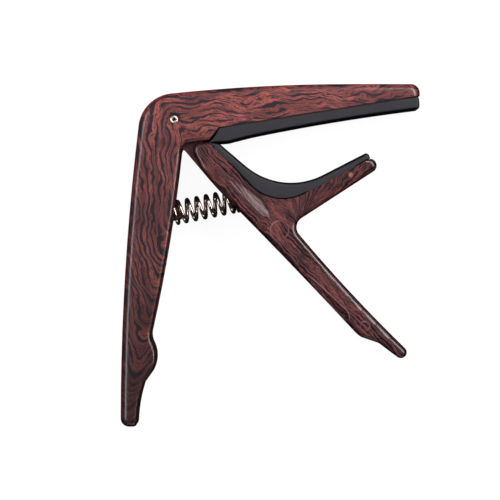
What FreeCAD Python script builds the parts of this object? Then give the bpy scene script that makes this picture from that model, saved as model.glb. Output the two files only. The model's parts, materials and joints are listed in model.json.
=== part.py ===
import FreeCAD, Part
import math
import os
import Sketcher

# A spring-clamp guitar capo, lying on its side.
#
# Frame: X runs along the pad arm, away from the hinge; Y runs up, away from the two handles;
# Z runs across the capo, from the side that it lies on (0) to the side that faces up.
# The origin is the middle of the underside of the whole capo's box.
# Every outline is drawn about the hinge pin's centre, on the middle plane of the width, and
# each sub-part's Placement then puts the hinge pin where it belongs in that frame.
# All sizes are in millimetres and degrees.

SIZES = (
    # shared
    ("casting_width", 15.0, "width of both cast arms, along the hinge pin"),
    ("pad_width", 13.8, "width of both silicone pads"),
    ("rib_width", 5.0, "width of the rib that keys a pad into its arm"),
    ("rib_fit", 0.08, "gap around a pad's rib in its groove"),
    ("pad_gap", 0.02, "gap between a pad and its seat"),
    ("pad_edge_radius", 0.7, "rounded edges of the upper pad's pressing face"),
    ("pad_corner_radius", 1.0, "round of the upper pad's outer end"),
    ("lower_pad_corner_radius", 1.0, "round of the lower pad's outer end"),
    ("upper_rib_length", 50.0, "rib along the upper pad"),
    ("upper_rib_depth", 1.4, "height of the upper pad's rib"),
    ("lower_rib_depth", 0.9, "height of the lower pad's ribs"),
    ("pivot_x", -26.356, "hinge pin's centre from the origin, along X"),
    ("pivot_y", 37.17, "hinge pin's centre from the origin, along Y"),
    # upper arm
    ("arm_reach", 67.4, "hinge pin to the end of the pad arm"),
    ("arm_top", 9.86, "hinge pin to the highest point of the pad arm"),
    ("handle_drop", 84.2, "hinge pin to the end of the long handle"),
    ("outer_corner_radius", 10.0, "round of the outer corner over the hinge"),
    ("inner_corner_radius", 3.0, "round of the corner under the hinge"),
    ("arm_end_radius", 2.5, "round of the pad arm's end"),
    ("waist_radius", 5.0, "hollow above the long handle's finger swell"),
    ("outer_edge_radius", 2.3, "rounded edges on the outside of the upper arm"),
    ("inner_edge_radius", 1.2, "rounded edges on the inside of the upper arm"),
    ("pad_tilt", 8.93, "slope of the upper pad's seat"),
    ("seat_edge_radius", 0.35, "broken edges along the upper pad's seat"),
    ("channel_width", 10.2, "channel inside the upper arm"),
    ("channel_gap", 0.4, "gap between the knuckle's round and the channel"),
    ("housing_radius", 10.07, "outside of the housing over the hinge"),
    ("channel_wall", 2.3, "outer wall left by the channel"),
    # lower arm
    ("knuckle_width", 9.8, "hinge knuckle of the lower arm"),
    ("knuckle_radius", 4.7, "round of the knuckle about the hinge pin"),
    ("shoulder_radius", 2.1, "round of the shoulder beside the knuckle"),
    ("crotch_radius", 3.0, "hollow between the jaw and the short handle"),
    ("lower_edge_radius", 1.6, "rounded edges of the lower arm"),
    ("swell_radius", 4.0, "rounds of the short handle's finger swell"),
    ("jaw_slope", 28.0, "slope of the lower pad's seat along the jaw"),
    ("saddle_radius", 12.5, "round of the lower pad's seat in the saddle"),
    ("large_mark_radius", 2.7, "ejector mark where the arm's branches meet"),
    ("middle_mark_radius", 1.5, "ejector mark near the short handle's end"),
    ("small_mark_radius", 0.8, "ejector dimple on the jaw"),
    ("seat_scoop_radius", 2.4, "scoop beside the lower pad's seat"),
    ("seat_scoop_depth", 0.6, "depth at that scoop's end"),
    ("edge_scoop_radius", 4.0, "scoop along the back edge of the short handle"),
    ("edge_scoop_depth", 1.7, "depth at that scoop's end"),
    ("mark_line", 0.4, "width of a mark's ring"),
    ("mark_depth", 0.25, "depth of the marks"),
    # hinge pin
    ("pin_radius", 1.1, "tubular hinge pin, outside"),
    ("pin_bore_radius", 0.5, "tubular hinge pin, inside"),
    ("pin_fit", 0.02, "gap around the pin in the upper arm"),
    ("pin_clearance", 0.05, "gap around the pin in the turning knuckle"),
    ("pin_recess_radius", 1.9, "recess around each end of the pin"),
    ("pin_recess_depth", 0.5, "depth of that recess"),
    ("pin_proud", 0.35, "how far a pin's end stands out of the recess floor"),
    # spring
    ("seat_x", -1.0, "spring's seat in the upper arm, from the hinge pin, along X"),
    ("seat_y", -25.67, "spring's seat in the upper arm, from the hinge pin, along Y"),
    ("spring_tilt", 11.5, "slope of the spring's line at rest"),
    ("spring_space", 19.4, "distance between the spring's two seats at rest"),
    ("spring_gap", 0.03, "gap between the spring's end and its seat"),
    ("coil_radius", 2.95, "spring's line to the middle of its wire"),
    ("wire_radius", 0.55, "spring wire"),
    ("closed_pitch", 1.122, "pitch of the closed end turns, which don't quite touch"),
    ("active_turns", 6.0, "open turns between the two closed end turns"),
    ("start_turn", 0.25, "share of a turn by which the wire's end lies before the top"),
    ("well_radius", 4.0, "round well that an end of the spring stands in"),
    ("post_radius", 2.1, "post inside an end of the spring"),
    ("post_length", 3.0, "how far the upper arm's post reaches into the spring"),
    ("post_chamfer", 0.5, "bevel round that post's end"),
)

doc = FreeCAD.newDocument("guitar_capo")
sheet = doc.addObject("Spreadsheet::Sheet", "sizes")
for row, (alias, value, note) in enumerate(SIZES, start=1):
    sheet.set(f"A{row}", alias)
    sheet.set(f"B{row}", str(value))
    sheet.set(f"C{row}", note)
    sheet.setAlias(f"B{row}", alias)
doc.recompute()


def size(alias):
    """A driving dimension from the sheet."""
    return float(sheet.get(alias))


def vector(x, y, z=0.0):
    return FreeCAD.Vector(x, y, z)


def polar(start, length, angle):
    """The point at a length and an angle in degrees from a start point."""
    turn = math.radians(angle)
    return (start[0] + length * math.cos(turn), start[1] + length * math.sin(turn))


def new_body(name):
    """A body whose hinge centre stands at the pivot, with its middle plane at half the width."""
    body = doc.addObject("PartDesign::Body", name)
    body.Label = name
    body.setExpression("Placement.Base.x", "sizes.pivot_x")
    body.setExpression("Placement.Base.y", "sizes.pivot_y")
    body.setExpression("Placement.Base.z", "sizes.casting_width / 2")
    return body


def new_sketch(body, name, role="XY_Plane", place=None):
    """A sketch on one of the body's own origin planes, moved by place within that plane."""
    sketch = body.newObject("Sketcher::SketchObject", name)
    plane = next(item for item in body.Origin.OriginFeatures if item.Role == role)
    sketch.AttachmentSupport = [(plane, "")]
    sketch.MapMode = "FlatFace"
    if place is not None:
        sketch.AttachmentOffset = place
    return sketch


def turns_left(first, second, third):
    """True where a path through three points turns to the left."""
    ahead = (second[0] - first[0], second[1] - first[1])
    after = (third[0] - second[0], third[1] - second[1])
    return ahead[0] * after[1] - ahead[1] * after[0] > 0


def draw_outline(sketch, start, *legs):
    """Draw a closed outline. A leg is an end point for a line, or (through, end) for an arc."""
    here = start
    pieces = []
    for leg in legs + (start,):
        through, end = leg if isinstance(leg[0], tuple) else (None, leg)
        if math.dist(here, end) < 1e-9:
            continue
        if through is None:
            shape = Part.LineSegment(vector(*here), vector(*end))
            ends = (1, 2)
        else:
            shape = Part.Arc(vector(*here), vector(*through), vector(*end))
            ends = (1, 2) if turns_left(here, through, end) else (2, 1)
        pieces.append((sketch.addGeometry(shape), ends))
        here = end
    for (geometry, ends), (following, next_ends) in zip(pieces, pieces[1:] + pieces[:1]):
        joint = Sketcher.Constraint("Coincident", geometry, ends[1], following, next_ends[0])
        sketch.addConstraint(joint)


def draw_circle(sketch, centre, alias, extra="", extra_sign=1):
    """Draw a circle whose radius is one size on the sheet, plus or minus another."""
    radius = size(alias)
    rule = f"sizes.{alias}"
    if extra:
        radius += extra_sign * size(extra)
        rule += f" {'+' if extra_sign > 0 else '-'} sizes.{extra}"
    circle = sketch.addGeometry(Part.Circle(vector(*centre), vector(0, 0, 1), radius))
    index = sketch.addConstraint(Sketcher.Constraint("Radius", circle, radius))
    sketch.setExpression(f"Constraints[{index}]", rule)


def draw_band(sketch, start, angle, length, right, left):
    """Draw a rectangle along a line, from one offset to another to the left of the line."""
    near = polar(start, right, angle + 90)
    far = polar(start, left, angle + 90)
    draw_outline(sketch, near, polar(near, length, angle), polar(far, length, angle), far)


def extrude(kind, sketch, length_rule, symmetric=True, reverse=False):
    """Pad or pocket a sketch, by a length that follows the sheet."""
    body = sketch.getParentGeoFeatureGroup()
    feature = body.newObject(f"PartDesign::{kind}", f"{sketch.Name}_{kind.lower()}")
    feature.Profile = sketch
    feature.SideType = "Symmetric" if symmetric else "One side"
    feature.Reversed = reverse
    feature.setExpression("Length", length_rule)
    doc.recompute()
    return feature


def mirror_half(body):
    """Mirror the finished upper half of a casting across the middle plane of its width."""
    mirrored = body.newObject("PartDesign::Mirrored", f"{body.Name}_other_half")
    plane = next(item for item in body.Origin.OriginFeatures if item.Role == "XY_Plane")
    mirrored.TransformMode = "Whole shape"
    mirrored.MirrorPlane = (plane, [""])
    body.Tip = mirrored
    doc.recompute()


def turn_about_line(kind, sketch, axis="H_Axis"):
    """Revolve or groove a half profile all the way round one of its sketch's own axes."""
    body = sketch.getParentGeoFeatureGroup()
    feature = body.newObject(f"PartDesign::{kind}", f"{sketch.Name}_{kind.lower()}")
    feature.Profile = sketch
    feature.ReferenceAxis = (sketch, [axis])
    feature.Angle = 360.0
    doc.recompute()
    return feature


def round_edges(body, name, radius_rule, chosen):
    """Fillet the edges of the body's present shape that the test picks."""
    base = body.Tip
    names = [f"Edge{n}" for n, edge in enumerate(base.Shape.Edges, start=1) if chosen(edge)]
    if not names:
        raise RuntimeError(f"{name}: no edge to round")
    fillet = body.newObject("PartDesign::Fillet", name)
    fillet.Base = (base, names)
    fillet.setExpression("Radius", radius_rule)
    doc.recompute()
    return fillet


def middle(edge):
    """The point half way along an edge."""
    return edge.valueAt((edge.FirstParameter + edge.LastParameter) / 2)


def upright_at(*corners):
    """A test for the edges that run along Z at the given corners."""
    def chosen(edge):
        low, high = edge.BoundBox.ZMin, edge.BoundBox.ZMax
        centre = middle(edge)
        near = any(math.dist((centre.x, centre.y), corner) < 0.05 for corner in corners)
        return high - low > 1.0 and near
    return chosen


def rim_where(height, wanted):
    """A test for the edges at one height whose middle point is wanted."""
    def chosen(edge):
        box = edge.BoundBox
        level = box.ZMax - box.ZMin < 1e-3 and abs(box.ZMax - height) < 1e-3
        return level and wanted(middle(edge))
    return chosen


def above_line(point, start, angle):
    """How far a point stands to the left of the line that leaves start at an angle."""
    turn = math.radians(angle)
    return math.cos(turn) * (point.y - start[1]) - math.sin(turn) * (point.x - start[0])


HALF = size("casting_width") / 2
SEAT = (size("seat_x"), size("seat_y"))
FAR_SEAT = polar(SEAT, size("spring_space"), size("spring_tilt"))
SPRING_TURN = FreeCAD.Rotation(vector(0, 0, 1), size("spring_tilt"))

# The outer corner over the hinge is round about this point.
HOUSING_CENTRE = (0.13, -2.73)

# The upper pad's seat: a slanted step, then a straight line out to the arm's end.
STEP_FOOT = (9.55, -5.70)
SEAT_START = (12.3, -2.17)
SEAT_LENGTH = (size("arm_reach") - SEAT_START[0]) / math.cos(math.radians(size("pad_tilt")))
SEAT_END = polar(SEAT_START, SEAT_LENGTH, size("pad_tilt"))

# The lower pad's seat: down from the hinge, round the saddle and out along the jaw.
LOWER_SEAT_TOP = (9.5, -6.2)
SADDLE_CENTRE = (29.8, -9.3)
SADDLE_FALL = 46.3
SADDLE_START = polar(SADDLE_CENTRE, size("saddle_radius"), 270 - SADDLE_FALL)
SADDLE_END = polar(SADDLE_CENTRE, size("saddle_radius"), 270 + size("jaw_slope"))
SADDLE_LOW = polar(SADDLE_CENTRE, size("saddle_radius"), 262)
JAW_LENGTH = 20.6
JAW_END = polar(SADDLE_END, JAW_LENGTH, size("jaw_slope"))

# Name, start, direction and length of the lower pad's ribs.
LOWER_RIBS = (
    ("hinge_rib", polar(LOWER_SEAT_TOP, 2.0, -SADDLE_FALL), -SADDLE_FALL, 5.5),
    ("jaw_rib", polar(SADDLE_END, 1.0, size("jaw_slope")), size("jaw_slope"), 15.0),
)

# Name, centre, and whether the ejector mark is a ring or a dimple.
EJECTOR_MARKS = (
    ("large_mark", (28.9, -30.2), True),
    ("middle_mark", (52.3, -56.5), True),
    ("small_mark", (48.4, -15.1), False),
)


def make_upper_arm():
    """The L-shaped casting: the pad arm, the hinge housing and the long handle."""
    body = new_body("upper_arm")
    reach, top, drop = size("arm_reach"), size("arm_top"), size("handle_drop")
    arm_corner = (reach, top)
    crown_start = (48.5, top)
    hinge_corner = (-8.78, 6.38)
    waist = (-6.65, -59.8)
    inner_corner = (2.1, -6.53)
    tip_left = (-14.7, -drop)
    tip_right = (-10.15, -drop)

    outline = new_sketch(body, "upper_arm_outline")
    draw_outline(
        outline,
        arm_corner,
        crown_start,
        ((19.5, 8.98), hinge_corner),
        ((-12.8, -32.0), tip_left),
        tip_right,
        ((-9.55, -77.4), (-8.3, -72.4)),
        (-6.1, -69.3),
        ((-4.95, -65.8), waist),
        ((-1.4, -33.0), inner_corner),
        STEP_FOOT,
        SEAT_START,
        SEAT_END,
    )
    extrude("Pad", outline, "sizes.casting_width / 2", symmetric=False)
    corners = (
        ("hinge_corner_round", "sizes.outer_corner_radius", hinge_corner),
        ("inner_corner_round", "sizes.inner_corner_radius", inner_corner),
        ("arm_end_round", "sizes.arm_end_radius", arm_corner),
        ("tip_round", "sizes.outer_edge_radius", tip_left),
        ("waist_round", "sizes.waist_radius", waist),
    )
    for name, rule, corner in corners:
        round_edges(body, name, rule, upright_at(corner))

    def outside(point):
        """On the back of the handle, over the hinge, along the top or round the arm's end."""
        on_top = point.y > 4 and above_line(point, SEAT_START, size("pad_tilt")) > 0.3
        on_back = point.x < -9.0 and point.y > -72.0
        return on_top or on_back or point.x > reach - 0.5 or point.y < -82.6

    def on_seat(point):
        on_line = abs(above_line(point, SEAT_START, size("pad_tilt"))) < 0.05
        on_step = STEP_FOOT[0] < point.x < SEAT_START[0] and point.y < SEAT_START[1]
        return on_line or on_step

    def inside(point):
        return not outside(point) and not on_seat(point)

    round_edges(body, "outer_edges", "sizes.outer_edge_radius", rim_where(HALF, outside))
    round_edges(body, "inner_edges", "sizes.inner_edge_radius", rim_where(HALF, inside))
    round_edges(body, "seat_edges", "sizes.seat_edge_radius", rim_where(HALF, on_seat))
    mirror_half(body)

    # The channel is open towards the lower arm. A solid web across it carries the spring.
    upper_channel = new_sketch(body, "knuckle_channel")
    roof = size("housing_radius") - size("channel_wall")
    clear = size("knuckle_radius") + size("channel_gap")
    draw_outline(
        upper_channel,
        polar(HOUSING_CENTRE, roof, 90),
        (polar(HOUSING_CENTRE, roof, 135), polar(HOUSING_CENTRE, roof, 176)),
        (-9.3, -20.0),
        (4.0, -17.5),
        (12.0, -12.0),
        (9.1, -6.9),
        polar((0, 0), clear, -25),
        (polar((0, 0), clear, 20), polar((0, 0), clear, 80)),
    )
    extrude("Pocket", upper_channel, "sizes.channel_width")

    lower_channel = new_sketch(body, "handle_channel")
    draw_outline(
        lower_channel,
        (-9.75, -31.5),
        ((-11.0, -44.0), (-11.75, -56.0)),
        (-9.5, -58.0),
        (6.0, -52.0),
        (6.0, -30.0),
    )
    extrude("Pocket", lower_channel, "sizes.channel_width")

    # The spring's well in the web, and the post that stands in it.
    place = FreeCAD.Placement(vector(*SEAT), SPRING_TURN)
    well = new_sketch(body, "upper_spring_well", place=place)
    well_radius, post_radius = size("well_radius"), size("post_radius")
    well_reach = 6.0
    draw_outline(well, (0, 0), (well_reach, 0), (well_reach, well_radius), (0, well_radius))
    turn_about_line("Groove", well)
    post = new_sketch(body, "upper_spring_post", place=place)
    post_end, chamfer, root = size("post_length"), size("post_chamfer"), -2.0
    draw_outline(
        post,
        (root, 0),
        (post_end, 0),
        (post_end, post_radius - chamfer),
        (post_end - chamfer, post_radius),
        (root, post_radius),
    )
    turn_about_line("Revolution", post)

    # The groove for the upper pad's rib, which stops short of the arm's end.
    groove = new_sketch(body, "upper_pad_groove")
    start = polar(SEAT_START, 2.0 - size("rib_fit"), size("pad_tilt"))
    length = size("upper_rib_length") + 2 * size("rib_fit")
    depth = size("upper_rib_depth") + size("rib_fit")
    draw_band(groove, start, size("pad_tilt"), length, -2.0, depth)
    extrude("Pocket", groove, "sizes.rib_width + 2 * sizes.rib_fit")

    bore = new_sketch(body, "upper_pin_bore")
    draw_circle(bore, (0, 0), "pin_radius", "pin_fit")
    extrude("Pocket", bore, "sizes.casting_width + 2")
    cut_pin_recesses(body)
    return body


def cut_pin_recesses(body):
    """A shallow round recess about the pin in each side face."""
    for side, height, turn in (("front", HALF, 0), ("back", -HALF, 180)):
        place = FreeCAD.Placement(vector(0, 0, height), FreeCAD.Rotation(vector(1, 0, 0), turn))
        recess = new_sketch(body, f"{side}_pin_recess", place=place)
        draw_circle(recess, (0, 0), "pin_recess_radius")
        extrude("Pocket", recess, "sizes.pin_recess_depth", symmetric=False)


def make_upper_pad():
    """The silicone bar that presses on the strings, with its rib."""
    body = new_body("upper_pad")
    gap = size("pad_gap")
    tilt = size("pad_tilt")
    away = tilt - 90
    step_angle = math.degrees(math.atan2(SEAT_START[1] - STEP_FOOT[1], SEAT_START[0] - STEP_FOOT[0]))
    seat_left = polar(polar(SEAT_START, gap, away), gap, tilt)
    seat_right = polar(polar(SEAT_END, gap, away), -0.1, tilt)
    foot = polar((9.65, -6.25), gap, step_angle - 90)
    toe = (14.6, -6.25)
    heel = (size("arm_reach") + 0.05, 2.78)
    outline = new_sketch(body, "upper_pad_outline")
    draw_outline(outline, seat_left, foot, toe, ((40.0, -1.25), heel), seat_right)
    extrude("Pad", outline, "sizes.pad_width / 2", symmetric=False)
    round_edges(body, "heel_round", "sizes.pad_corner_radius", upright_at(heel))

    def pressed(point):
        below = above_line(point, SEAT_START, tilt) < -1.0
        return below and point.x > foot[0] + 2.0

    half = size("pad_width") / 2
    round_edges(body, "string_edges", "sizes.pad_edge_radius", rim_where(half, pressed))
    mirror_half(body)

    rib = new_sketch(body, "upper_pad_rib")
    start = polar(SEAT_START, 2.0, tilt)
    draw_band(rib, start, tilt, size("upper_rib_length"), -gap - 0.5, size("upper_rib_depth"))
    extrude("Pad", rib, "sizes.rib_width")
    return body


def make_lower_arm():
    """The Y-shaped casting: the hinge knuckle, the curved jaw and the short handle."""
    body = new_body("lower_arm")
    shoulder = (3.9, -6.35)
    back_start = (7.85, -14.2)
    back_knee = (16.0, -23.05)
    swell = (50.9, -59.45)
    hollow = (56.1, -61.2)
    crotch = (32.1, -28.8)
    outline = new_sketch(body, "lower_arm_outline")
    draw_outline(
        outline,
        LOWER_SEAT_TOP,
        shoulder,
        back_start,
        ((11.6, -18.5), back_knee),
        ((33.1, -40.6), swell),
        hollow,
        (61.2, -65.05),
        ((63.05, -65.1), (63.45, -62.75)),
        ((46.4, -45.2), crotch),
        (54.7, -14.15),
        ((55.5, -12.15), JAW_END),
        SADDLE_END,
        (SADDLE_LOW, SADDLE_START),
    )
    extrude("Pad", outline, "sizes.casting_width / 2", symmetric=False)
    corners = (
        ("shoulder_round", "sizes.shoulder_radius", (shoulder,)),
        ("crotch_round", "sizes.crotch_radius", (crotch,)),
        ("swell_round", "sizes.swell_radius", (swell, hollow)),
    )
    for name, rule, places in corners:
        round_edges(body, name, rule, upright_at(*places))

    def off_seat(point):
        to_seat = min(
            abs(above_line(point, SADDLE_START, -SADDLE_FALL)),
            abs(above_line(point, SADDLE_END, size("jaw_slope"))),
            abs(math.dist((point.x, point.y), SADDLE_CENTRE) - size("saddle_radius")),
        )
        return to_seat > 0.05

    round_edges(body, "lower_edges", "sizes.lower_edge_radius", rim_where(HALF, off_seat))
    # Two long shallow scoops, one beside the pad's seat and one along the handle's back edge.
    cut_scoop(body, "seat_scoop", (24.7, -25.3), -45.9, 17.0)
    cut_scoop(body, "edge_scoop", (44.7, -54.4), -46.6, 26.0)
    mirror_half(body)

    # The knuckle turns inside the upper arm's channel.
    knuckle = new_sketch(body, "knuckle_outline")
    radius = size("knuckle_radius")
    draw_outline(
        knuckle,
        polar((0, 0), radius, -30),
        (polar((0, 0), radius, 100), polar((0, 0), radius, 222)),
        (2.8, -8.25),
        back_start,
        (12.0, -14.0),
        (9.0, -7.0),
        (8.2, -6.5),
    )
    extrude("Pad", knuckle, "sizes.knuckle_width")
    bore = new_sketch(body, "knuckle_bore")
    draw_circle(bore, (0, 0), "pin_radius", "pin_clearance")
    extrude("Pocket", bore, "sizes.casting_width + 2")

    # The spring's well: a ring around a post, cut in from the back of the arm.
    place = FreeCAD.Placement(vector(*FAR_SEAT), SPRING_TURN)
    well = new_sketch(body, "lower_spring_well", place=place)
    well_radius, post_radius = size("well_radius"), size("post_radius")
    reach = -12.0
    draw_outline(well, (0, post_radius), (0, well_radius), (reach, well_radius), (reach, post_radius))
    turn_about_line("Groove", well)

    # Grooves for the lower pad's two ribs.
    for name, start, angle, length in LOWER_RIBS:
        groove = new_sketch(body, f"{name}_groove")
        fit = size("rib_fit")
        start = polar(start, -fit, angle)
        depth = size("lower_rib_depth") + fit
        draw_band(groove, start, angle, length + 2 * fit, -depth, 2.0)
        extrude("Pocket", groove, "sizes.rib_width + 2 * sizes.rib_fit")

    # Round marks that the mould's ejector pins left on the side that faces up.
    for name, centre, ring in EJECTOR_MARKS:
        place = FreeCAD.Placement(vector(0, 0, HALF), FreeCAD.Rotation())
        mark = new_sketch(body, name, place=place)
        draw_circle(mark, centre, f"{name}_radius")
        if ring:
            draw_circle(mark, centre, f"{name}_radius", "mark_line", extra_sign=-1)
        extrude("Pocket", mark, "sizes.mark_depth", symmetric=False)
    return body


def cut_scoop(body, name, end, heading, length):
    """Cut a round-nosed scoop that starts at nothing and gets deeper towards its end."""
    radius, depth = size(f"{name}_radius"), size(f"{name}_depth")
    dive = FreeCAD.Rotation(vector(0, 0, 1), -math.degrees(math.atan2(depth, length)))
    turn = FreeCAD.Rotation(vector(0, 1, 0), heading)
    base = vector(end[0], HALF + radius - depth, -end[1])
    scoop = new_sketch(body, name, "XZ_Plane", FreeCAD.Placement(base, turn * dive))
    nose = polar((0, 0), radius, 45)
    start = -1.5 * length       # the tool reaches back past the place where the scoop fades out
    draw_outline(scoop, (start, 0), (radius, 0), (nose, (0, radius)), (start, radius))
    turn_about_line("Groove", scoop)


def make_lower_pad():
    """The saddle-shaped silicone pad behind the guitar's neck, with its two ribs."""
    body = new_body("lower_pad")
    gap = size("pad_gap")
    fall, slope = 360 - SADDLE_FALL, size("jaw_slope")
    top = polar(polar(LOWER_SEAT_TOP, gap, fall + 90), 0.35, fall)
    radius = size("saddle_radius") - gap
    seat_left = polar(SADDLE_CENTRE, radius, 270 - SADDLE_FALL)
    seat_low = polar(SADDLE_CENTRE, radius, 262)
    seat_right = polar(SADDLE_CENTRE, radius, 270 + slope)
    tip = polar(JAW_END, gap, slope + 90)
    tip_corner = (53.2, -8.66)
    hollow_centre = (32.07, 1.98)
    hollow = 19.1
    outline = new_sketch(body, "lower_pad_outline")
    draw_outline(
        outline,
        top,
        seat_left,
        (seat_low, seat_right),
        tip,
        tip_corner,
        polar(hollow_centre, hollow, 297.5),
        (polar(hollow_centre, hollow, 262), polar(hollow_centre, hollow, 230.4)),
        (12.3, -6.4),
    )
    extrude("Pad", outline, "sizes.pad_width")
    round_edges(body, "tip_round", "sizes.lower_pad_corner_radius", upright_at(tip_corner))
    for name, start, angle, length in LOWER_RIBS:
        rib = new_sketch(body, name)
        draw_band(rib, start, angle, length, -size("lower_rib_depth"), gap + 0.5)
        extrude("Pad", rib, "sizes.rib_width")
    return body


def make_hinge_pin():
    """The tubular pin, whose rolled ends stand a little out of the recesses."""
    body = new_body("hinge_pin")
    outer, inner = size("pin_radius"), size("pin_bore_radius")
    half_length = HALF - size("pin_recess_depth") + size("pin_proud")
    profile = new_sketch(body, "pin_profile", role="XZ_Plane")
    roll = (outer - inner) / 2
    draw_outline(
        profile,
        (inner, roll - half_length),
        (((inner + outer) / 2, -half_length), (outer, roll - half_length)),
        (outer, half_length - roll),
        (((inner + outer) / 2, half_length), (inner, half_length - roll)),
    )
    turn_about_line("Revolution", profile, axis="V_Axis")
    return body


def make_spring():
    """The compression spring, wound right-handed: closed end turns that open into the active turns."""
    wire, radius = size("wire_radius"), size("coil_radius")
    turns = size("active_turns") + 2
    length = size("spring_space") - 2 * size("spring_gap") - 2 * wire
    closed = size("closed_pitch")
    open_pitch = (length - closed * 2) / size("active_turns")

    def advance(turn):
        """How far along the spring its wire has come after some turns."""
        opened = min(max(turn - 1, 0), size("active_turns"))
        shut = turn - opened
        return shut * closed + opened * open_pitch

    points = []
    steps = 20
    for step in range(round(turns * steps) + 1):
        turn = step / steps
        angle = 2 * math.pi * (turn - size("start_turn"))
        points.append(vector(advance(turn), radius * math.cos(angle), radius * math.sin(angle)))
    line = Part.BSplineCurve()
    line.interpolate(points)
    path = Part.Wire(line.toShape())
    section = Part.Wire(Part.makeCircle(wire, points[0], line.tangent(line.FirstParameter)[0]))
    coil = path.makePipeShell([section], True, True)
    spring = doc.addObject("Part::Feature", "spring")
    spring.Label = "spring"
    spring.Shape = coil
    start = polar(SEAT, size("spring_gap") + wire, size("spring_tilt"))
    base = vector(start[0] + size("pivot_x"), start[1] + size("pivot_y"), HALF)
    spring.Placement = FreeCAD.Placement(base, SPRING_TURN)
    expected = math.pi * wire**2 * path.Length
    if abs(coil.Volume / expected - 1) > 0.02:
        raise RuntimeError(f"spring volume {coil.Volume:.1f}, expected {expected:.1f}")
    return spring


parts = [
    make_upper_arm(),
    make_upper_pad(),
    make_lower_arm(),
    make_lower_pad(),
    make_hinge_pin(),
    make_spring(),
]
doc.recompute()

for item in doc.Objects:
    if "Invalid" in item.State or "Error" in item.State:
        raise RuntimeError(f"{item.Name}: {item.State}")
for part in parts:
    if part.Shape.isNull() or not part.Shape.isValid() or len(part.Shape.Solids) != 1:
        raise RuntimeError(f"{part.Label}: not one valid solid")

os.makedirs("parts", exist_ok=True)
for part in parts:
    part.Shape.exportStep(f"parts/{part.Label}.step")
    box = part.Shape.BoundBox
    print(f"{part.Label}: {part.Shape.Volume:.0f} mm3, X {box.XMin:.3f} to {box.XMax:.3f}, "
          f"Y {box.YMin:.3f} to {box.YMax:.3f}, Z {box.ZMin:.3f} to {box.ZMax:.3f}")
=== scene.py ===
import json
import math

import bmesh
import bpy
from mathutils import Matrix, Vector
from mathutils.bvhtree import BVHTree
from mathutils.geometry import delaunay_2d_cdt, intersect_line_line_2d


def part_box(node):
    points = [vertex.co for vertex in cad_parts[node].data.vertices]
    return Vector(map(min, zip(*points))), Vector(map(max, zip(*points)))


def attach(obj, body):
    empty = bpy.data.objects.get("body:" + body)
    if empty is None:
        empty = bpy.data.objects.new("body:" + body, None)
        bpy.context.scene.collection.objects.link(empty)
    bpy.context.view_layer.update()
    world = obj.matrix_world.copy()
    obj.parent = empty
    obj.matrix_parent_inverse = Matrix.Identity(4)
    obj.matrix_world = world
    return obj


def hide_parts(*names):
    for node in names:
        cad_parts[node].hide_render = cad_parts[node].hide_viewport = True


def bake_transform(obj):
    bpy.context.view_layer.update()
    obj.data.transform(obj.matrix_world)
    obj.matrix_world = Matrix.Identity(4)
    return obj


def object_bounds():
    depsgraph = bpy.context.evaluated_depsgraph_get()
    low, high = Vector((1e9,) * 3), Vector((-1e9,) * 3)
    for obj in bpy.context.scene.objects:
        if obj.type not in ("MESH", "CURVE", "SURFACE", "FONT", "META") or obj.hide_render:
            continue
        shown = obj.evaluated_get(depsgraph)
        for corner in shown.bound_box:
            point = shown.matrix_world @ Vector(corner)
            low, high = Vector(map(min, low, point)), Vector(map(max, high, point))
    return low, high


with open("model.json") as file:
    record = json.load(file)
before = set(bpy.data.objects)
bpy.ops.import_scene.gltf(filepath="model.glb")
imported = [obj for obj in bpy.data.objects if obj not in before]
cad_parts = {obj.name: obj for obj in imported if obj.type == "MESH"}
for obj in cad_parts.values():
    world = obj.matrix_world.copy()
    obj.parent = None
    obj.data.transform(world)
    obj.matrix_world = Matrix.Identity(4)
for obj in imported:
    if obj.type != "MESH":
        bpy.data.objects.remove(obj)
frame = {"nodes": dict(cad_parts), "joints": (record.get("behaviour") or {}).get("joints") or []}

CAD_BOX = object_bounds()
MM = 0.001
NODES = frame["nodes"]
HINGE = Vector(frame["joints"][0]["pos_m"])
UPPER, LOWER = "upper_half", "lower_half"
SHARP_ANGLE = math.radians(35)


# ---------------------------------------------------------------- node graphs

class Term:
    """A number inside a node graph, so that a pattern can be written as a formula."""

    def __init__(self, graph, socket):
        self.graph = graph
        self.socket = socket

    def __add__(self, other):
        return self.graph.math("ADD", self, other)

    def __radd__(self, other):
        return self.graph.math("ADD", other, self)

    def __sub__(self, other):
        return self.graph.math("SUBTRACT", self, other)

    def __rsub__(self, other):
        return self.graph.math("SUBTRACT", other, self)

    def __mul__(self, other):
        return self.graph.math("MULTIPLY", self, other)

    def __truediv__(self, other):
        return self.graph.math("DIVIDE", self, other)

    def __neg__(self):
        return self.graph.math("MULTIPLY", self, -1.0)


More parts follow.
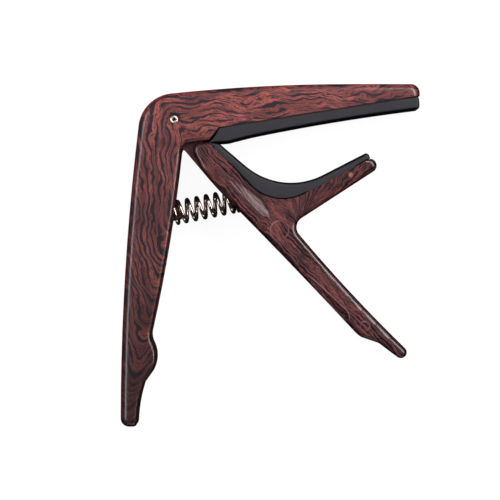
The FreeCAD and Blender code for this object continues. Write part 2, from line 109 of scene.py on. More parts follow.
class Graph:
    """Short calls that add nodes to a material's or the world's tree."""

    def __init__(self, owner):
        owner.use_nodes = True
        self.tree = owner.node_tree
        self.tree.nodes.clear()

    def node(self, kind, inputs=None, **settings):
        """A new node, with its settings, and its inputs fed by name or number."""
        made = self.tree.nodes.new(kind)
        for name, value in settings.items():
            setattr(made, name, value)
        for key, value in (inputs or {}).items():
            self.feed(made.inputs[key], value)
        return made

    def feed(self, socket, value):
        if isinstance(value, Term):
            self.tree.links.new(value.socket, socket)
        elif isinstance(value, bpy.types.NodeSocket):
            self.tree.links.new(value, socket)
        else:
            socket.default_value = value

    def math(self, operation, *values, clamp=False):
        made = self.node("ShaderNodeMath", dict(enumerate(values)), operation=operation, use_clamp=clamp)
        return Term(self, made.outputs[0])

    def low(self, a, b):
        return self.math("MINIMUM", a, b)

    def high(self, a, b):
        return self.math("MAXIMUM", a, b)

    def size(self, value):
        return self.math("ABSOLUTE", value)

    def clamped(self, value):
        """The value, kept between 0 and 1."""
        return self.math("ADD", value, 0.0, clamp=True)

    def length(self, a, b):
        return self.math("SQRT", a * a + b * b)

    def distance(self, x, y, spot):
        return self.length(x - spot[0], y - spot[1])

    def choose(self, share, when_zero, when_one):
        """One of two numbers, or a mix of them."""
        return when_zero + (when_one - when_zero) * share

    def step(self, value, start, end):
        """A smooth climb from 0 to 1 while value goes from start to end."""
        given = {"Value": value, "From Min": start, "From Max": end}
        made = self.node("ShaderNodeMapRange", given, interpolation_type="SMOOTHSTEP")
        return Term(self, made.outputs["Result"])

    def drop(self, value, start, end):
        """A smooth fall from 1 to 0 while value goes from start to end."""
        return 1.0 - self.step(value, start, end)

    def vector(self, x, y, z):
        return self.node("ShaderNodeCombineXYZ", {0: x, 1: y, 2: z}).outputs[0]

    def split(self, vector):
        made = self.node("ShaderNodeSeparateXYZ", {0: vector})
        return [Term(self, made.outputs[axis]) for axis in range(3)]

    def noise(self, vector, scale=1.0, detail=2.0, rough=0.5):
        given = {"Vector": vector, "Scale": scale, "Detail": detail, "Roughness": rough}
        made = self.node("ShaderNodeTexNoise", given, noise_dimensions="3D")
        return Term(self, made.outputs[0])

    def colour(self, share, first, second):
        """The first colour where the share is 0, and the second where it is 1."""
        given = {"Factor": share, "A": first, "B": second}
        return self.node("ShaderNodeMix", given, data_type="RGBA").outputs["Result"]

    def place(self):
        """X, Y and Z in millimetres from the hinge pin, fixed to the piece."""
        coordinates = self.node("ShaderNodeTexCoord").outputs["Object"]
        return [(value - HINGE[axis]) / MM for axis, value in enumerate(self.split(coordinates))]

    def facing(self, normal):
        """A normal's X, Y and Z in the piece's own space."""
        turned = self.node(
            "ShaderNodeVectorTransform", {0: normal},
            vector_type="NORMAL", convert_from="WORLD", convert_to="OBJECT")
        return self.split(turned.outputs[0])

    def even_normal(self):
        """The smooth normal, but exactly the face's own on the flat front and back."""
        geometry = self.node("ShaderNodeNewGeometry")
        own = geometry.outputs["True Normal"]
        tall = self.size(self.facing(own)[2])
        # a Mix node's inputs 4 and 5 and its output 1 are its vectors
        is_flat = self.math("GREATER_THAN", tall, 0.9999)
        given = {"Factor": is_flat, 4: geometry.outputs["Normal"], 5: own}
        return self.node("ShaderNodeMix", given, data_type="VECTOR").outputs[1]

    def bump(self, height, distance, normal=None):
        given = {"Height": height, "Distance": distance}
        if normal is not None:
            given["Normal"] = normal
        return self.node("ShaderNodeBump", given).outputs["Normal"]

    def surface(self, **inputs):
        """The principled shader and the output, with the inputs' names joined by underscores."""
        given = {name.replace("_", " "): value for name, value in inputs.items()}
        shader = self.node("ShaderNodeBsdfPrincipled", given)
        self.node("ShaderNodeOutputMaterial", {0: shader.outputs[0]})


def tone(red, green, blue):
    """A colour given as it looks on a screen, from 0 to 255, in the linear values that nodes use."""
    def linear(value):
        share = value / 255
        return share / 12.92 if share <= 0.04045 else ((share + 0.055) / 1.055) ** 2.4
    return (linear(red), linear(green), linear(blue), 1.0)


# ---------------------------------------------------------------- wood-grain film

# Lengths in this section are in millimetres, and places are measured from the hinge pin.
FRONT = 7.5                                        # height of the castings' front
LINE_SHIFT = 0.9                                   # places the growth lines across the grain
WALL_RUN = 0.5                                     # how far across they go for each unit of depth
CROTCH = (34.5, -29.0)                             # where the lower arm's branches part
ARM_HEADING = math.radians(-46.5)                  # which way the short handle runs
LARGE_MARK, MIDDLE_MARK, DIMPLE = (28.9, -30.2), (52.3, -56.5), (48.4, -15.1)
MARK_RADII = ((LARGE_MARK, 2.7), (MIDDLE_MARK, 1.5), (DIMPLE, 0.8))
# The scoops get deeper towards their ends.
SEAT_SCOOP_END, SEAT_SCOOP_HEADING = (24.7, -25.3), math.radians(-45.9)
BACK_SCOOP_END, BACK_SCOOP_HEADING = (44.7, -54.4), math.radians(-46.6)
BACK_SCOOP_LENGTH, BACK_SCOOP_DEPTH, BACK_SCOOP_RADIUS = 26.0, 1.7, 4.0
BACK_SCOOP_NOSE = (46.2, -54.0)                    # where the film is dull

BLACKISH = tone(14, 9, 11)           # what the print darkens to along an arm
RIM_PAINTED_SHADE = tone(25, 9, 9)           # painted shade where the film turns over the rims
OUTER_PAINTED_LIGHT = tone(120, 48, 40)        # painted light on the rims of the side that faces the lights
# painted highlights: the scoop's sheen and the pale edges of the marks, the back scoop and the dimple
PAINTED_SHEEN_GREY = tone(148, 130, 130)
MARK_HIGHLIGHT_PINK = tone(160, 112, 112)
BORDER_HIGHLIGHT_PINK = tone(160, 118, 118)
DIMPLE_HIGHLIGHT_PINK = tone(176, 104, 96)


def along_heading(x, y, start, heading):
    """How far ahead of a start a place is along a heading, and how far to the left of it."""
    dx, dy = x - start[0], y - start[1]
    ahead = dx * math.cos(heading) + dy * math.sin(heading)
    aside = dy * math.cos(heading) - dx * math.sin(heading)
    return ahead, aside


def upper_grain(g, x, y):
    """Across and along the grain, how dark it grows and how bold its streaks are.

    It runs down the handle, round the hinge and along the pad arm.
    """
    corner_stretch = 6.0                          # length of grain for each radian round the hinge
    handle_start, handle_settled, handle_length = 9.0, 19.0, 80.0
    heart_start, heart_drift = 5.6, 0.23
    flame_start, flame_lean = 26.0, 0.30

    left, up = g.high(-x, 0.0), g.high(y, 0.0)
    right, down = g.high(x, 0.0), g.high(-y, 0.0)
    # contours of the two arms' own directions, with a soft turn at the inner corner
    inner = right + down - g.length(right, down)
    ring = g.length(left, up) - inner
    turn = g.math("ARCTAN2", up, left)
    along = right - down + turn * corner_stretch
    # down the handle the heart of the grain wanders from its inner edge to its middle
    heart = heart_start - down * heart_drift
    flame = g.length(x - heart, 1.0) - heart + g.high(down - flame_start, 0.0) * flame_lean
    on_handle = g.step(down, handle_start, handle_settled)
    dusk = g.step(down, 0.0, 10.0) * 0.17 + g.low(down / handle_length, 1.0) * 0.66
    bold = 1.0 - g.step(right, 2.0, 14.0) * 0.75
    return g.choose(on_handle, ring, flame), along, dusk, bold


def lower_grain(g, x, y):
    """The same for the lower arm, where it runs along the arm and fans into the jaw from the crotch."""
    fan_width = 11.0                              # width of grain for each radian of the fan
    arm_length = 40.0
    ahead, aside = along_heading(x, y, CROTCH, ARM_HEADING)
    fan = (g.math("ARCTAN2", aside, ahead) - math.pi) * fan_width
    in_fan = g.math("GREATER_THAN", aside, 0.0)
    reach = g.distance(x, y, CROTCH)
    dusk = g.low(reach / arm_length, 1.0) * 0.18
    return g.choose(in_fan, -aside, fan), g.choose(in_fan, ahead, -reach), dusk, 0.25


def mark_lines(g, x, y):
    """Painted highlights along the edges of the ejector marks, unevenly strong."""
    inset, sharp_width, soft_width = 0.2, 0.12, 0.28
    lines = 0.0
    for centre, radius in MARK_RADII:
        away = g.distance(x, y, centre) - radius
        lines = g.high(lines, g.drop(g.size(away + inset), sharp_width, soft_width))
    uneven = g.step(g.noise(g.vector(x, y, 0.0), scale=0.35, detail=1.0), 0.35, 0.62)
    return lines * (uneven * 0.8 + 0.2)


def seat_scoop(g, x, y):
    """Where the scoop beside the pad's seat is, and how strong its painted sheen, a painted highlight, is
    there.

    The scoop widens from nothing and closes to a point at its nose.
    """
    length, widest, narrowest = 14.0, 1.60, 0.05
    closing_start, closing_length = -3.6, 5.8
    nose_start, nose_end = 1.7, 2.2
    ahead, aside = along_heading(x, y, SEAT_SCOOP_END, SEAT_SCOOP_HEADING)
    grown = g.clamped(ahead / length + 1.0)
    closing = g.clamped((ahead - closing_start) / closing_length)
    half_width = g.math("POWER", grown, 0.6) * widest * (1.0 - closing * closing) + narrowest
    body = g.drop(aside, half_width - 0.15, half_width) * g.drop(ahead, nose_start, nose_end)
    fade = g.step(aside, -half_width, half_width * 0.4)
    inside = body * g.step(aside, -half_width - 0.4, -half_width) * g.step(grown, 0.0, 0.1)
    return inside, body * fade * g.step(grown, 0.10, 0.55)


def back_scoop_line(g, x, y):
    """The border of the scoop on the handle's back edge, where a thin painted highlight runs."""
    ahead, aside = along_heading(x, y, BACK_SCOOP_END, BACK_SCOOP_HEADING)
    depth = g.clamped(ahead / BACK_SCOOP_LENGTH + 1.0) * BACK_SCOOP_DEPTH
    half_width = g.math("SQRT", depth * (2 * BACK_SCOOP_RADIUS - depth))
    away = g.length(g.high(ahead, 0.0), aside) - half_width
    line = g.drop(g.size(away), 0.10, 0.26) * g.step(ahead, -16.0, -10.0) * g.drop(ahead, 1.5, 3.0)
    return line * g.math("GREATER_THAN", aside, 0.0)


def growth_lines(g, across, along, z, bold, seed, spacing, waver):
    """The printed pattern: how dark the ink is, the fine hairs in the ground, and its light patches."""
    def layer(base, fineness, shift, detail, rough=0.5):
        """Noise that follows the grain, with its fineness across, along and down into the piece."""
        by_across, by_along, by_depth = fineness
        return g.noise(
            g.vector(base * by_across, along * by_along, z * by_depth + shift),
            detail=detail, rough=rough)

    drift = layer(across, (0.07, 0.05, 0.05), seed, 1.0)
    wander = layer(across, (0.22, 0.16, 0.12), -seed, 1.0)
    ripple = layer(across, (0.8, 0.5, 0.4), seed, 2.0)
    drift_reach, wander_reach, ripple_reach = 7.0, 3.4, 0.9
    line = across + (drift - 0.5) * drift_reach * waver + (wander - 0.5) * wander_reach * waver
    line = line + (ripple - 0.5) * ripple_reach

    # each kind of line goes from nothing to full between two values of its noise
    streak_edge, vein_edge, pore_edge = (0.60, 0.69), (0.51, 0.62), (0.54, 0.63)
    hair_edge, patch_edge = (0.46, 0.58), (0.38, 0.60)
    fine_spacing = spacing * 0.42
    growth = g.math("SINE", line * (2 * math.pi / spacing))
    fine_growth = g.math("SINE", line * (2 * math.pi / fine_spacing))
    breaks = layer(line, (0.6, 0.10, 0.12), seed, 3.0, 0.65)
    fine_breaks = layer(line, (2.1, 0.42, 0.3), -seed, 3.0, 0.7)
    streak = g.step(growth * 0.17 + breaks + bold * 0.07, *streak_edge)
    vein = g.step(fine_growth * 0.10 + fine_breaks - bold * 0.02, *vein_edge)
    pore = g.step(layer(line, (3.6, 1.3, 1.2), 0.0, 2.0, 0.7), *pore_edge)
    inking = g.high(g.high(streak, vein * (0.95 - bold * 0.23)), pore * 0.55)

    hair = g.step(layer(line, (3.4, 0.36, 0.5), 0.0, 3.0, 0.75), *hair_edge)
    patch = g.step(layer(line, (0.40, 0.09, 0.0), seed * 3.0, 2.0), *patch_edge)
    return inking, hair, patch


def wood_film(
    name, grain, light, middle, dark, seed,
    spacing=1.45, waver=1.0, gloss=0.42, shine=0.25, lit_side=(0, 0), has_marks=False,
):
    """Glossy printed film: dark growth lines that follow the grain on a red-brown ground.

    spacing is between the bold lines, and waver is how far they wander. On the flats, gloss is the
    clear coat and shine is the film's own reflection. The rims get painted shade, with painted light
    on the side that faces lit_side. has_marks is for the lower arm, which has the marks and the scoops.
    """
    material = bpy.data.materials.new(name)
    g = Graph(material)
    x, y, z = g.place()
    across, along, dusk, bold = grain(g, x, y)
    across = across + LINE_SHIFT + (z - FRONT) * WALL_RUN
    inking, hair, patch = growth_lines(g, across, along, z, bold, seed, spacing, waver)
    ground = g.colour(patch, middle, light)
    ground = g.colour(hair * 0.85, ground, middle)
    print_colour = g.colour(inking, ground, dark)
    print_colour = g.colour(dusk, print_colour, BLACKISH)

    # painted shade darkens the film where it wraps over the rims, and its clear coat is duller there; both
    # less so on its lit outer side
    normal = g.even_normal()
    facing_x, facing_y, facing_z = g.facing(normal)
    lit_facing = g.high(facing_x * lit_side[0] + facing_y * lit_side[1], 0.0)
    level = g.size(facing_z)
    flat = g.step(level + lit_facing, 0.42, 0.97)
    wall = g.drop(level, 0.01, 0.20)
    clear_coat = flat * gloss + 0.05
    if has_marks:
        on_front = g.math("GREATER_THAN", z, 0.0)
        inside, sheen = seat_scoop(g, x, y)
        sheen = sheen * on_front
        flat = g.high(flat, sheen)
        dull = g.high(inside * 0.85, g.drop(g.distance(x, y, BACK_SCOOP_NOSE), 1.6, 2.8))
        clear_coat = clear_coat * (1.0 - dull * on_front)
        # painted sheen, a painted highlight, in the scoop beside the pad's seat
        print_colour = g.colour(sheen * (0.70 - inking * 0.34), print_colour, PAINTED_SHEEN_GREY)
        # a painted highlight on the small dimple's dome
        in_dimple = g.drop(g.distance(x, y, DIMPLE), 0.45, 0.75)
        # painted highlights on the marks' edges, the back scoop's border and the dimple
        for share, strength, pale in (
            (mark_lines(g, x, y), 0.55, MARK_HIGHLIGHT_PINK),
            (back_scoop_line(g, x, y), 0.55, BORDER_HIGHLIGHT_PINK),
            (in_dimple, 0.60, DIMPLE_HIGHLIGHT_PINK),
        ):
            print_colour = g.colour(share * on_front * strength, print_colour, pale)
    # painted light on the rims that face the lights
    turned = g.step(lit_facing, 0.35, 0.8) * (1.0 - wall)
    print_colour = g.colour(turned * 0.6, print_colour, OUTER_PAINTED_LIGHT)
    # painted shade on the rims, a little less on the walls
    print_colour = g.colour(g.high(flat, wall * 0.75) * 0.88 + 0.12, RIM_PAINTED_SHADE, print_colour)

    scuff = g.noise(g.vector(x * 0.9, y * 0.9, z * 0.9), detail=4.0, rough=0.7)
    height = inking * -0.6 + hair * -0.2 + scuff * 0.3
    g.surface(
        Base_Color=print_colour,
        Roughness=0.36 + (scuff - 0.5) * 0.16 + inking * 0.05,
        Normal=g.bump(height, 0.03 * MM, normal),
        Coat_Normal=normal,
        Coat_Weight=clear_coat,
        Coat_Roughness=0.09,
        Specular_IOR_Level=flat * shine + 0.12,
    )
    return material


# ---------------------------------------------------------------- rubber and steel

def silicone():
    """Dark grey moulded rubber with a fine matt speckle, and painted shade round its rims."""
    material = bpy.data.materials.new("silicone")
    g = Graph(material)
    place = g.vector(*g.place())
    grain = g.noise(place, scale=7.0, detail=3.0, rough=0.7)
    bloom = g.noise(place, scale=0.22, detail=3.0, rough=0.6)
    body = g.colour(bloom, tone(26, 26, 30), tone(36, 35, 40))
    body = g.colour(g.step(grain, 0.40, 0.66) * 0.35, body, tone(50, 50, 56))
    level = g.size(g.facing(g.even_normal())[2])
    flat = g.step(level, 0.68, 0.995)
    wall = g.drop(level, 0.01, 0.15)
    # painted shade round the rims, a little less on the walls
    body = g.colour(g.high(flat, wall * 0.30) * 0.90 + 0.10, tone(3, 3, 4), body)
    g.surface(
        Base_Color=body,
        Roughness=0.55 + (grain - 0.5) * 0.22,
        Normal=g.bump(grain, 0.04 * MM),
        Specular_IOR_Level=flat * 0.30 + 0.05,
        Sheen_Weight=flat * 0.08,
    )
    return material


def steel(name, clean, dull, roughness, marks_depth):
    """Plated steel with fine drawing marks and slightly duller patches."""
    material = bpy.data.materials.new(name)
    g = Graph(material)
    place = g.vector(*g.place())
    marks = g.noise(place, scale=6.0, detail=4.0, rough=0.7)
    patch = g.step(g.noise(place, scale=1.1, detail=2.0), 0.40, 0.65)
    g.surface(
        Base_Color=g.colour(patch * 0.6, clean, dull),
        Metallic=1.0,
        Roughness=roughness + (marks - 0.5) * 0.14,
        Normal=g.bump(marks, marks_depth),
    )
    return material


# ---------------------------------------------------------------- pads

WELD_DISTANCE = 1e-6
CUT_OFFSET = 1e-5                # keeps the cut off any vertices that lie at the middle
OUTLINE_GAP = 0.45 * MM          # the most between two points of a pad's outline
SEAT_REACH = 0.12 * MM           # a pad this near to its casting is at its seat
THROAT_START, THROAT_END = 14, 22          # in millimetres from the hinge: where a pad leaves the throat
SMALLEST_RADIUS = 0.05 * MM
ROUNDING_STEPS = 7
SIDE_SHARES = (0.75, 0.5, 0.25, 0.0, -0.25, -0.5, -0.75)      # of half the pad's straight side
CROWN = 0.12 * MM                # how much wider a pad's side is at its middle than at its rims


def with_neighbours(loop):
    """Each item of a closed loop, between the one before it and the one after it."""
    return zip(loop[-1:] + loop[:-1], loop, loop[1:] + loop[:1])


def middle_outline(node):
    """The closed outline of a CAD node at the middle of its width, anticlockwise, with even gaps."""
    shell = bmesh.new()
    shell.from_mesh(NODES[node].data)
    bmesh.ops.remove_doubles(shell, verts=shell.verts, dist=WELD_DISTANCE)
    cut = bmesh.ops.bisect_plane(
        shell,
        geom=shell.verts[:] + shell.edges[:] + shell.faces[:],
        dist=1e-7,
        plane_co=(0, 0, HINGE.z + CUT_OFFSET),
        plane_no=(0, 0, 1),
    )
    edges = [item for item in cut["geom_cut"] if isinstance(item, bmesh.types.BMEdge)]
    links = {}
    for edge in edges:
        a, b = edge.verts
        links.setdefault(a, []).append(b)
        links.setdefault(b, []).append(a)
    start = edges[0].verts[0]
    loop, before, here = [start], None, start
    while True:
        following = next(v for v in links[here] if v is not before)
        if following is start:
            break
        loop.append(following)
        before, here = here, following
    points = [Vector((v.co.x, v.co.y)) for v in loop]
    shell.free()

    even = []
    for first, second in zip(points, points[1:] + points[:1]):
        span = (second - first).length
        if span < WELD_DISTANCE:
            continue
        parts = max(1, math.ceil(span / OUTLINE_GAP))
        even += [first.lerp(second, part / parts) for part in range(parts)]
    area = sum(a.x * b.y - b.x * a.y for a, b in zip(even, even[1:] + even[:1]))
    return even if area > 0 else even[::-1]


def inward(points):
    """Which way is inward at each point of an outline that runs anticlockwise.

    At a corner it is longer, so that both sides move in by the same amount.
    """
    shortest_share = 0.5
    ways = []
    for before, here, after in with_neighbours(points):
        entry, leave = (here - before).normalized(), (after - here).normalized()
        way = Vector((-(entry.y + leave.y), entry.x + leave.x)).normalized()
        ways.append(way / max(way.dot(Vector((-entry.y, entry.x))), shortest_share))
    return ways


def corners(points):
    """How sharply an outline turns at each point: 0 for straight on, 1 for a right angle or more."""
    turns = [(here - before).angle(after - here, 0.0) for before, here, after in with_neighbours(points)]
    return [min(1.0, turn / (math.pi / 2)) for turn in turns]


def spread(values, times):
    """Values round a loop, each averaged with its neighbours some number of times."""
    for _ in range(times):
        values = [(before + 2 * here + after) / 4 for before, here, after in with_neighbours(values)]
    return values


def seated(outline, casting):
    """How far each point of an outline is at its seat in a casting, from 0 to 1."""
    seat = NODES[casting].data
    tree = BVHTree.FromPolygons(
        [v.co.copy() for v in seat.vertices],
        [tuple(p.vertices) for p in seat.polygons],
    )
    away = [tree.find_nearest(Vector((point.x, point.y, HINGE.z)))[3] for point in outline]
    return spread([1.0 if distance < SEAT_REACH else 0.0 for distance in away], 4)


def fit_radius(outline, index, way, radius):
    """A rounding at one point of an outline, made smaller until it stays clear of the far side."""
    needed, shrink = 0.9, 0.8
    while radius > SMALLEST_RADIUS:
        centre = outline[index] + way * radius
        clear = min((centre - point).length for point in outline)
        if clear > needed * radius:
            break
        radius *= shrink
    return radius


def folds(outline, moved):
    """The points of an inset outline where it runs backwards or crosses itself."""
    short_fold = 14          # a crossing of points nearer than this folds everything between them
    count = len(outline)
    folded = set()
    for first in range(count):
        after = (first + 1) % count
        if (moved[after] - moved[first]).dot(outline[after] - outline[first]) <= 0:
            folded.update((first, after))
        for gap in range(2, count // 2 + 1):
            second = (first + gap) % count
            beyond = (second + 1) % count
            if intersect_line_line_2d(moved[first], moved[after], moved[second], moved[beyond]):
                both_ends = (*range(-1, 3), *range(gap - 1, gap + 3))
                near = range(gap + 2) if gap < short_fold else both_ends
                folded.update((first + step) % count for step in near)
    return folded


def unfolded(outline, ways, insets):
    """The share of each point's inset that keeps an outline from folding over itself."""
    attempts, shrink = 80, 0.85
    shares = [1.0] * len(outline)
    for _ in range(attempts):
        moved = [
            point + way * inset * share
            for point, way, inset, share in zip(outline, ways, insets, shares)
        ]
        folded = folds(outline, moved)
        if not folded:
            break
        shares = [share * (shrink if index in folded else 1.0) for index, share in enumerate(shares)]
    return shares


def fill(mesh, ring):
    """A flat cap inside a ring of vertices at one height."""
    flat = [Vector((v.co.x, v.co.y)) for v in ring]
    inside_only, smallest = 1, 1e-9
    _, _, faces, sources, _, _ = delaunay_2d_cdt(
        flat, [], [list(range(len(flat)))], inside_only, smallest)
    for face in faces:
        mesh.faces.new([ring[sources[index][0]] for index in face])


def roundings(outline, ways, seats, round_free, round_seat):
    """The radius of a pad's rim at each point: less at its seat, at sharp corners and where it is thin."""
    corner_loss = 0.8
    sharpness = spread(corners(outline), 3)
    wanted = [
        (round_free + (round_seat - round_free) * seat) * (1 - corner_loss * min(1.0, 2 * corner))
        for seat, corner in zip(seats, sharpness)
    ]
    fitted = [
        fit_radius(outline, index, way, radius)
        for index, (way, radius) in enumerate(zip(ways, wanted))
    ]
    return [min(pair) for pair in zip(fitted, spread(fitted, 3))]


def pad_levels():
    """A pad's rings from top to bottom.

    Each is 1 or -1 for the upper or lower rounding, with a share of its quarter turn, or 0 for the
    side, with a share of its half height.
    """
    quarter = [step / ROUNDING_STEPS for step in range(ROUNDING_STEPS + 1)]
    upper = [(1, 1 - share) for share in quarter]
    side = [(0, share) for share in SIDE_SHARES]
    lower = [(-1, share) for share in quarter]
    return upper + side + lower


def soft_pad(name, node, casting, round_free, round_seat, slim, ease):
    """A moulded pad in its CAD solid's space: well rounded round its free faces, tight at its seat.

    slim is how much thinner it is than its solid on its free faces, and ease how often its outline
    is smoothed.
    """
    low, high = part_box(node)
    outline = middle_outline(node)
    seats = seated(outline, casting)
    # free to swell or slim: neither at the seat nor in the throat, where the two pads' ends meet
    throat = THROAT_END - THROAT_START
    loose = [
        (1 - seat) * min(1.0, max(0.0, ((point - HINGE.xy).length / MM - THROAT_START) / throat))
        for point, seat in zip(outline, seats)
    ]
    for _ in range(ease):
        outline = [
            here.lerp((before + after) / 2, 0.5 * free)
            for (before, here, after), free in zip(with_neighbours(outline), loose)
        ]
    ways = inward(outline)
    slimmed = [slim * abs(way.normalized().y) * free for way, free in zip(ways, loose)]
    radii = roundings(outline, ways, seats, round_free, round_seat)
    bellies = [CROWN * free for free in loose]
    shares = unfolded(outline, ways, [sum(parts) for parts in zip(radii, slimmed, bellies)])
    radii = [radius * share for radius, share in zip(radii, shares)]

    half = (high.z - low.z) / 2
    centre = (high.z + low.z) / 2
    mesh = bmesh.new()
    rings = []
    for side, level in pad_levels():
        ring = []
        for point, way, radius, thin, belly, share in zip(outline, ways, radii, slimmed, bellies, shares):
            if side == 0:
                tall = level * (half - radius)
                inset = 0.0
            else:
                tall = side * (half - radius + radius * math.sin(level * math.pi / 2))
                inset = radius * (1 - math.cos(level * math.pi / 2))
            inset += (thin + belly * (tall / half) ** 2) * share
            spot = point + way * inset
            ring.append(mesh.verts.new((spot.x, spot.y, centre + tall)))
        rings.append(ring)
    bridge(mesh, rings)
    for ring in (rings[0], rings[-1]):
        fill(mesh, ring)
    bmesh.ops.recalc_face_normals(mesh, faces=mesh.faces)
    return add_piece(name, mesh)


def bridge(mesh, rings):
    """Faces between each ring of vertices and the next."""
    for first, second in zip(rings, rings[1:]):
        for index in range(len(first)):
            after = (index + 1) % len(first)
            mesh.faces.new((first[index], second[index], second[after], first[after]))


def add_piece(name, mesh):
    """An object made of a mesh, smooth but for its sharp edges."""
    data = bpy.data.meshes.new(name)
    mesh.to_mesh(data)
    mesh.free()
    data.polygons.foreach_set("use_smooth", [True] * len(data.polygons))
    data.set_sharp_from_angle(angle=SHARP_ANGLE)
    piece = bpy.data.objects.new(name, data)
    bpy.context.scene.collection.objects.link(piece)
    return piece


# ---------------------------------------------------------------- spring

SPRING_SLOPE = math.radians(11.5)
SPRING_SEAT = Vector((-1.0, -25.67, 0)) * MM     # in the upper arm, from the hinge pin
SPRING_SPACE = 19.4 * MM
SEAT_GAP = 0.03 * MM
WIRE_RADIUS = 0.55 * MM
CLOSED_PITCH = 1.122 * MM
OPEN_TURNS = 6
START_TURN = 0.25
STEPS_PER_TURN = 40
WIRE_SIDES = 18


def spring_wire():
    """The coil: closed end turns that open into even active turns, as a swept round wire."""
    low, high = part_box("spring")
    radius = (high.z - low.z) / 2 - WIRE_RADIUS
    along = Vector((math.cos(SPRING_SLOPE), math.sin(SPRING_SLOPE), 0))
    aside = Vector((-along.y, along.x, 0))
    up = Vector((0, 0, 1))
    length = SPRING_SPACE - 2 * SEAT_GAP - 2 * WIRE_RADIUS
    open_pitch = (length - 2 * CLOSED_PITCH) / OPEN_TURNS
    start = HINGE + SPRING_SEAT + along * (SEAT_GAP + WIRE_RADIUS)

    total = (OPEN_TURNS + 2) * STEPS_PER_TURN
    line = []
    for step in range(total + 1):
        turn = step / STEPS_PER_TURN
        opened = min(max(turn - 1, 0), OPEN_TURNS)
        advance = (turn - opened) * CLOSED_PITCH + opened * open_pitch
        angle = 2 * math.pi * (turn - START_TURN)
        line.append(start + along * advance + (aside * math.cos(angle) + up * math.sin(angle)) * radius)

    mesh = bmesh.new()
    rings = []
    for index, point in enumerate(line):
        ahead = (line[min(index + 1, total)] - line[max(index - 1, 0)]).normalized()
        out = point - (start + along * (point - start).dot(along))
        out = (out - ahead * out.dot(ahead)).normalized()
        over = ahead.cross(out)
        ring = []
        for side in range(WIRE_SIDES):
            turn = 2 * math.pi * side / WIRE_SIDES
            spoke = out * math.cos(turn) + over * math.sin(turn)
            ring.append(mesh.verts.new(point + spoke * WIRE_RADIUS))
        rings.append(ring)
    bridge(mesh, rings)
    for ring in (rings[0], rings[-1]):
        mesh.faces.new(ring)
    bmesh.ops.recalc_face_normals(mesh, faces=mesh.faces)
    return add_piece("spring_coil", mesh), start, start + along * length


# ---------------------------------------------------------------- stage

FLOOR_RADIUS, FLOOR_SIDES = 3.0, 96
FLOOR_GAP = 0.02 * MM
FOCAL_LENGTH, SENSOR_WIDTH = 176.0, 36.0
FRAME_SIDE = 137.5 * MM                               # what the square picture spans
VIEW_CENTRE = Vector((20.8, -35.7, 0)) * MM           # from the hinge pin
VIEW_HEIGHT = 11.5 * MM                               # the height at which that span is exact


def floor():
    mesh = bmesh.new()
    bmesh.ops.create_circle(mesh, cap_ends=True, segments=FLOOR_SIDES, radius=FLOOR_RADIUS)
    made = add_piece("floor", mesh)
    made.location.z = CAD_BOX[0].z - FLOOR_GAP
    material = bpy.data.materials.new("pale_floor")
    g = Graph(material)
    coordinates = g.node("ShaderNodeTexCoord").outputs["Object"]
    cloud = g.noise(coordinates, scale=3.0, detail=2.0)
    white = g.colour(cloud, tone(244, 244, 244), tone(250, 250, 250))
    g.surface(
        Base_Color=tone(96, 96, 96),
        Roughness=0.9,
        Specular_IOR_Level=0.0,
        Emission_Color=white,
        Emission_Strength=1.0,
    )
    made.data.materials.append(material)
    made.visible_glossy = False
    made.visible_diffuse = False


def soft_light(name, direction, distance, size, power, glossy=True, tint=(1, 1, 1)):
    """A rectangular lamp that faces the frame's origin from a direction and a distance."""
    lamp = bpy.data.lights.new(name, "AREA")
    lamp.shape = "RECTANGLE"
    lamp.size, lamp.size_y = size
    lamp.energy = power
    lamp.color = tint
    made = bpy.data.objects.new(name, lamp)
    bpy.context.scene.collection.objects.link(made)
    way = Vector(direction).normalized()
    made.location = way * distance
    made.rotation_mode = "QUATERNION"
    made.rotation_quaternion = way.to_track_quat("Z", "Y")
    made.visible_glossy = glossy


def studio():
    """A dim room that only reflections and shadows see, behind a pale backdrop, and its lights."""
    world = bpy.data.worlds.new("studio")
    bpy.context.scene.world = world
    g = Graph(world)
    tall = g.split(g.node("ShaderNodeTexCoord").outputs["Generated"])[2]
    room = g.colour(g.step(tall, -0.1, 0.9), tone(28, 28, 30), tone(58, 58, 62))
    seen = g.node("ShaderNodeLightPath").outputs["Is Camera Ray"]
    shade = g.colour(seen, room, tone(250, 250, 250))
    background = g.node("ShaderNodeBackground", {0: shade})
    g.node("ShaderNodeOutputWorld", {0: background.outputs[0]})

    near, far = 0.8, 0.9
    soft_light("left_softbox", (-1.0, 0.10, 0.95), near, (0.7, 0.26), 3.2, tint=(0.90, 0.90, 1.0))
    soft_light("right_softbox", (1.0, 0.72, 1.25), near, (1.1, 0.3), 9.5, tint=(1.0, 0.95, 0.93))
    soft_light("front_strip", (0.1, -1.0, 0.12), near, (0.7, 0.16), 1.0, tint=(1.0, 0.93, 0.86))
    soft_light("overhead", (-0.2, 0.15, 1.0), far, (0.7, 0.7), 2.9, glossy=False)


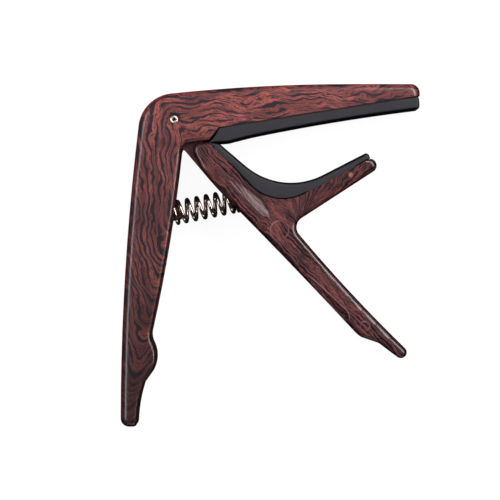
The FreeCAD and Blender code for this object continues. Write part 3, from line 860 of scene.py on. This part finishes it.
def camera():
    """Straight above the capo, a little off its middle, through a long lens."""
    lens = bpy.data.cameras.new("camera")
    lens.lens, lens.sensor_width = FOCAL_LENGTH, SENSOR_WIDTH
    lens.clip_start, lens.clip_end = 0.01, 20
    made = bpy.data.objects.new("camera", lens)
    bpy.context.scene.collection.objects.link(made)
    aim = HINGE + VIEW_CENTRE
    made.location = (aim.x, aim.y, VIEW_HEIGHT + FRAME_SIDE * FOCAL_LENGTH / SENSOR_WIDTH)
    bpy.context.scene.camera = made


# ---------------------------------------------------------------- assembly

def coat(piece, material):
    """Give every material slot of a piece the same material."""
    if piece.material_slots:
        for slot in piece.material_slots:
            slot.link = "OBJECT"
            slot.material = material
    else:
        piece.data.materials.append(material)


bpy.context.scene.view_settings.view_transform = "Standard"
camera()
studio()
floor()

coat(NODES["upper_arm"], wood_film(
    "wood_film_upper", upper_grain, tone(156, 79, 71), tone(108, 54, 50), tone(36, 28, 39),
    seed=3.1, lit_side=(-0.64, 0.48)))
coat(NODES["lower_arm"], wood_film(
    "wood_film_lower", lower_grain, tone(120, 64, 61), tone(80, 45, 47), tone(16, 12, 18),
    seed=7.7, spacing=1.0, waver=0.6, gloss=0.62, shine=0.08, has_marks=True))
coat(NODES["hinge_pin"], steel(
    "pin_steel", tone(250, 240, 226), tone(222, 208, 190), 0.42, 0.006 * MM))

rubber = silicone()
for name, node, casting, body, round_free, round_seat, slim, ease in (
    ("upper_pad_rubber", "upper_pad", "upper_arm", UPPER, 0.75 * MM, 0.40 * MM, 0.26 * MM, 16),
    ("lower_pad_rubber", "lower_pad", "lower_arm", LOWER, 1.1 * MM, 0.65 * MM, 0.04 * MM, 4),
):
    pad = soft_pad(name, node, casting, round_free, round_seat, slim, ease)
    coat(pad, rubber)
    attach(pad, body)
    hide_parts(node)

coil, coil_start, coil_end = spring_wire()
coat(coil, steel(
    "spring_steel", tone(206, 190, 178), tone(168, 152, 142), 0.15, 0.002 * MM))
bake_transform(coil)
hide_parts("spring")
